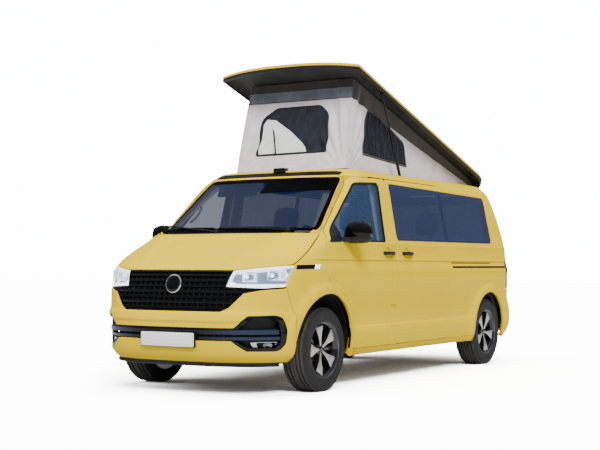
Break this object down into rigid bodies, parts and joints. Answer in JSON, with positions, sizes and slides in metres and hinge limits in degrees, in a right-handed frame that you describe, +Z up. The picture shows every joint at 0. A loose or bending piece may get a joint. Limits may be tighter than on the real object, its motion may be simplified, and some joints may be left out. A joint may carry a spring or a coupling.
{
  "type": "camper van",
  "caption": "Long one-box camper van on four road wheels, with a rear-hinged pop-up roof raised over a fabric tent, hinged doors, bonnet and tailgate, and steered front wheels.",
  "frame": {"origin": "on the ground, below the middle of the van's length and width", "axes": "+Z up, the van faces -Y, its left side is +X"},
  "size_m": [2.296, 5.304, 2.9182],
  "materials": {
    "paint": "clearcoat",
    "dark_trim": "matt",
    "gloss_black": "gloss",
    "lamp": "clear",
    "red_lamp": "clear",
    "screen": "tinted",
    "privacy": "dark tint",
    "tyre": "matt",
    "alloy": "machined and black",
    "steel": "coated",
    "engine": "cast",
    "underbody": "sealed",
    "seat": "woven",
    "canvas": "woven",
    "roof_shell": "gelcoat",
    "strut": "black"
  },
  "bodies": {
    "body": {"floor_pan": "underbody", "body_side_left": "paint", "body_side_right": "paint", "roof_frame": "paint", "front_wings": "paint", "sliding_door": "paint", "cabin_glass": "privacy", "windscreen": "screen", "wipers": "dark_trim", "front_bumper": "paint", "rear_bumper": "paint", "grille": "gloss_black", "headlamps": "lamp", "tail_lamps": "red_lamp", "dashboard": "dark_trim", "front_seats": "seat", "rear_bench": "seat", "engine_block": "engine", "front_subframe": "steel", "rear_axle": "steel", "exhaust": "steel", "fuel_tank": "dark_trim", "arch_liners": "dark_trim", "canvas": "canvas"},
    "knuckle_left": {"knuckle_left": "steel"},
    "knuckle_right": {"knuckle_right": "steel"},
    "steering_wheel": {"steering_wheel": "dark_trim"},
    "wheel_front_left": {"rim_front_left": "alloy", "tyre_front_left": "tyre"},
    "wheel_front_right": {"rim_front_right": "alloy", "tyre_front_right": "tyre"},
    "wheel_rear_left": {"rim_rear_left": "alloy", "tyre_rear_left": "tyre"},
    "wheel_rear_right": {"rim_rear_right": "alloy", "tyre_rear_right": "tyre"},
    "front_door_left": {"front_door_left": "paint", "door_glass_left": "screen", "mirror_left": "gloss_black"},
    "front_door_right": {"front_door_right": "paint", "door_glass_right": "screen", "mirror_right": "gloss_black"},
    "bonnet": {"bonnet": "paint"},
    "tailgate": {"tailgate": "paint", "tailgate_glass": "privacy"},
    "roof_lid": {"roof_lid": "roof_shell"},
    "strut_barrel_left": {"strut_barrel_left": "strut"},
    "strut_barrel_right": {"strut_barrel_right": "strut"},
    "strut_rod_left": {"strut_rod_left": "strut"},
    "strut_rod_right": {"strut_rod_right": "strut"},
    "fuel_flap": {"fuel_flap": "paint"}
  },
  "joints": [
    {"name": "steering_left", "type": "hinge", "parent": "body", "child": "knuckle_left", "pos_m": [0.77, -1.744, 0.344], "axis": [0, 0, 1], "range_deg": [-35, 35]},
    {"name": "steering_right", "type": "hinge", "parent": "body", "child": "knuckle_right", "pos_m": [-0.77, -1.744, 0.344], "axis": [0, 0, 1], "range_deg": [-35, 35]},
    {"name": "steering_wheel_turn", "type": "hinge", "parent": "body", "child": "steering_wheel", "pos_m": [-0.37, -1.1, 1.08], "axis": [0, 0.5736, 0.8192], "range_deg": [-530, 530]},
    {"name": "wheel_front_left_spin", "type": "hinge", "parent": "knuckle_left", "child": "wheel_front_left", "pos_m": [0.814, -1.744, 0.344], "axis": [1, 0, 0], "continuous": true},
    {"name": "wheel_rear_left_spin", "type": "hinge", "parent": "body", "child": "wheel_rear_left", "pos_m": [0.814, 1.656, 0.344], "axis": [1, 0, 0], "continuous": true},
    {"name": "wheel_front_right_spin", "type": "hinge", "parent": "knuckle_right", "child": "wheel_front_right", "pos_m": [-0.814, -1.744, 0.344], "axis": [1, 0, 0], "continuous": true},
    {"name": "wheel_rear_right_spin", "type": "hinge", "parent": "body", "child": "wheel_rear_right", "pos_m": [-0.814, 1.656, 0.344], "axis": [1, 0, 0], "continuous": true},
    {"name": "front_door_left_hinge", "type": "hinge", "parent": "body", "child": "front_door_left", "pos_m": [0.95, -1.755, 1.05], "axis": [0, 0, -1], "range_deg": [0, 68]},
    {"name": "front_door_right_hinge", "type": "hinge", "parent": "body", "child": "front_door_right", "pos_m": [-0.95, -1.755, 1.05], "axis": [0, 0, 1], "range_deg": [0, 68]},
    {"name": "bonnet_hinge", "type": "hinge", "parent": "body", "child": "bonnet", "pos_m": [0, -1.7, 1.298], "axis": [-1, 0, 0], "range_deg": [0, 60]},
    {"name": "tailgate_hinge", "type": "hinge", "parent": "body", "child": "tailgate", "pos_m": [0, 2.331, 1.829], "axis": [1, 0, 0], "range_deg": [0, 85]},
    {"name": "roof_hinge", "type": "hinge", "parent": "body", "child": "roof_lid", "pos_m": [0, 2.14, 1.915], "axis": [1, 0, 0], "range_deg": [0, 16.5], "deforming": ["canvas"]},
    {"name": "strut_left_swing", "type": "hinge", "parent": "body", "child": "strut_barrel_left", "pos_m": [0.69, 0.07795, 1.905], "axis": [1, 0, 0], "range_deg": [0, 62.41]},
    {"name": "strut_left_slide", "type": "slide", "parent": "strut_barrel_left", "child": "strut_rod_left", "axis": [0, -0.4447, 0.8957], "range_m": [-0.3543, 0]},
    {"name": "strut_right_swing", "type": "hinge", "parent": "body", "child": "strut_barrel_right", "pos_m": [-0.69, 0.07795, 1.905], "axis": [1, 0, 0], "range_deg": [0, 62.41]},
    {"name": "strut_right_slide", "type": "slide", "parent": "strut_barrel_right", "child": "strut_rod_right", "axis": [0, -0.4447, 0.8957], "range_m": [-0.3543, 0]},
    {"name": "fuel_flap_hinge", "type": "hinge", "parent": "body", "child": "fuel_flap", "pos_m": [0.951, -0.475, 0.575], "axis": [0, 0, 1], "range_deg": [0, 90]}
  ],
  "couplings": [
    {"joint": "steering_right", "follows": "steering_left", "ratio": 1},
    {"joint": "steering_wheel_turn", "follows": "steering_left", "ratio": 15},
    {"joint": "strut_left_swing", "follows": "roof_hinge", "ratio": 3.722},
    {"joint": "strut_left_slide", "follows": "roof_hinge", "m_per_rad": -1.2164},
    {"joint": "strut_right_swing", "follows": "roof_hinge", "ratio": 3.722},
    {"joint": "strut_right_slide", "follows": "roof_hinge", "m_per_rad": -1.2164}
  ]
}
